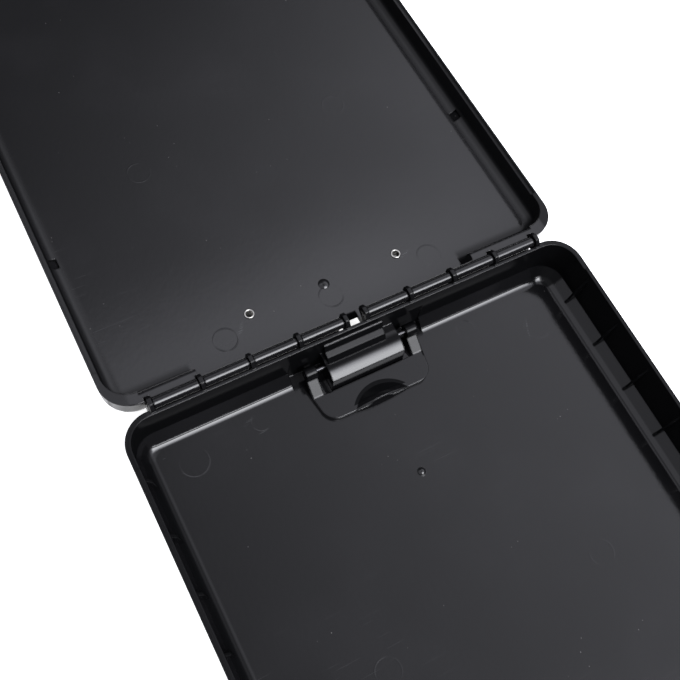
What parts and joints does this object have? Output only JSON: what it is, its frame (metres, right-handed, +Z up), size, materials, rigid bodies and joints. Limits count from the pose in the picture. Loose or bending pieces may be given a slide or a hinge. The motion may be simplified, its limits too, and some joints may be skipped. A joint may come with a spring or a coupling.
{
  "type": "storage clipboard box",
  "caption": "Flat storage clipboard box, opened flat, with a ribbed tray, hinged lid, sprung document flap, paper clip on the lid and a front latch.",
  "frame": {"origin": "centre of the tray's underside, on the table", "axes": "+Z up out of the tray, +Y from the tray towards the hinge and the opened lid, +X to the right"},
  "size_m": [0.24, 0.7193, 0.0334],
  "materials": {
    "case_plastic": "satin moulded black",
    "pin_steel": "blackened",
    "spring_steel": "drawn wire",
    "clip_steel": "nickel plated sheet",
    "rivet_nickel": "bright nickel"
  },
  "bodies": {
    "tray": {"base_tray": "case_plastic", "left_hinge_pin": "pin_steel", "right_hinge_pin": "pin_steel", "inner_clip_spring": "spring_steel", "latch_pin": "pin_steel"},
    "lid": {"lid_shell": "case_plastic", "paper_clip_plate": "clip_steel", "paper_clip_pin": "pin_steel", "paper_clip_left_spring": "spring_steel", "paper_clip_right_spring": "spring_steel", "left_clip_rivet": "rivet_nickel", "right_clip_rivet": "rivet_nickel"},
    "document_flap": {"inner_clip_flap": "case_plastic", "inner_clip_pin": "pin_steel", "inner_clip_collar": "pin_steel"},
    "clip_jaw": {"paper_clip_jaw": "clip_steel"},
    "latch": {"front_latch": "case_plastic"}
  },
  "joints": [
    {"name": "lid_hinge", "type": "hinge", "parent": "tray", "child": "lid", "pos_m": [0, 0.1748, 0.0281], "axis": [1, 0, 0], "range_deg": [0, 182.06]},
    {"name": "flap_pivot", "type": "hinge", "parent": "tray", "child": "document_flap", "pos_m": [0, 0.164, 0.011], "axis": [-1, 0, 0], "range_deg": [0, 45], "stiffness_Nm_per_rad": 0.03, "springref_deg": -34.38, "deforming": ["inner_clip_spring"]},
    {"name": "jaw_pivot", "type": "hinge", "parent": "lid", "child": "clip_jaw", "pos_m": [0, 0.19804, 0.00655], "axis": [-1, 0, 0], "range_deg": [0, 22], "stiffness_Nm_per_rad": 0.3, "springref_deg": -22.92, "deforming": ["paper_clip_left_spring", "paper_clip_right_spring"]},
    {"name": "latch_pivot", "type": "hinge", "parent": "tray", "child": "latch", "pos_m": [0, -0.1757, 0.0125], "axis": [-1, 0, 0], "range_deg": [0, 40]}
  ]
}
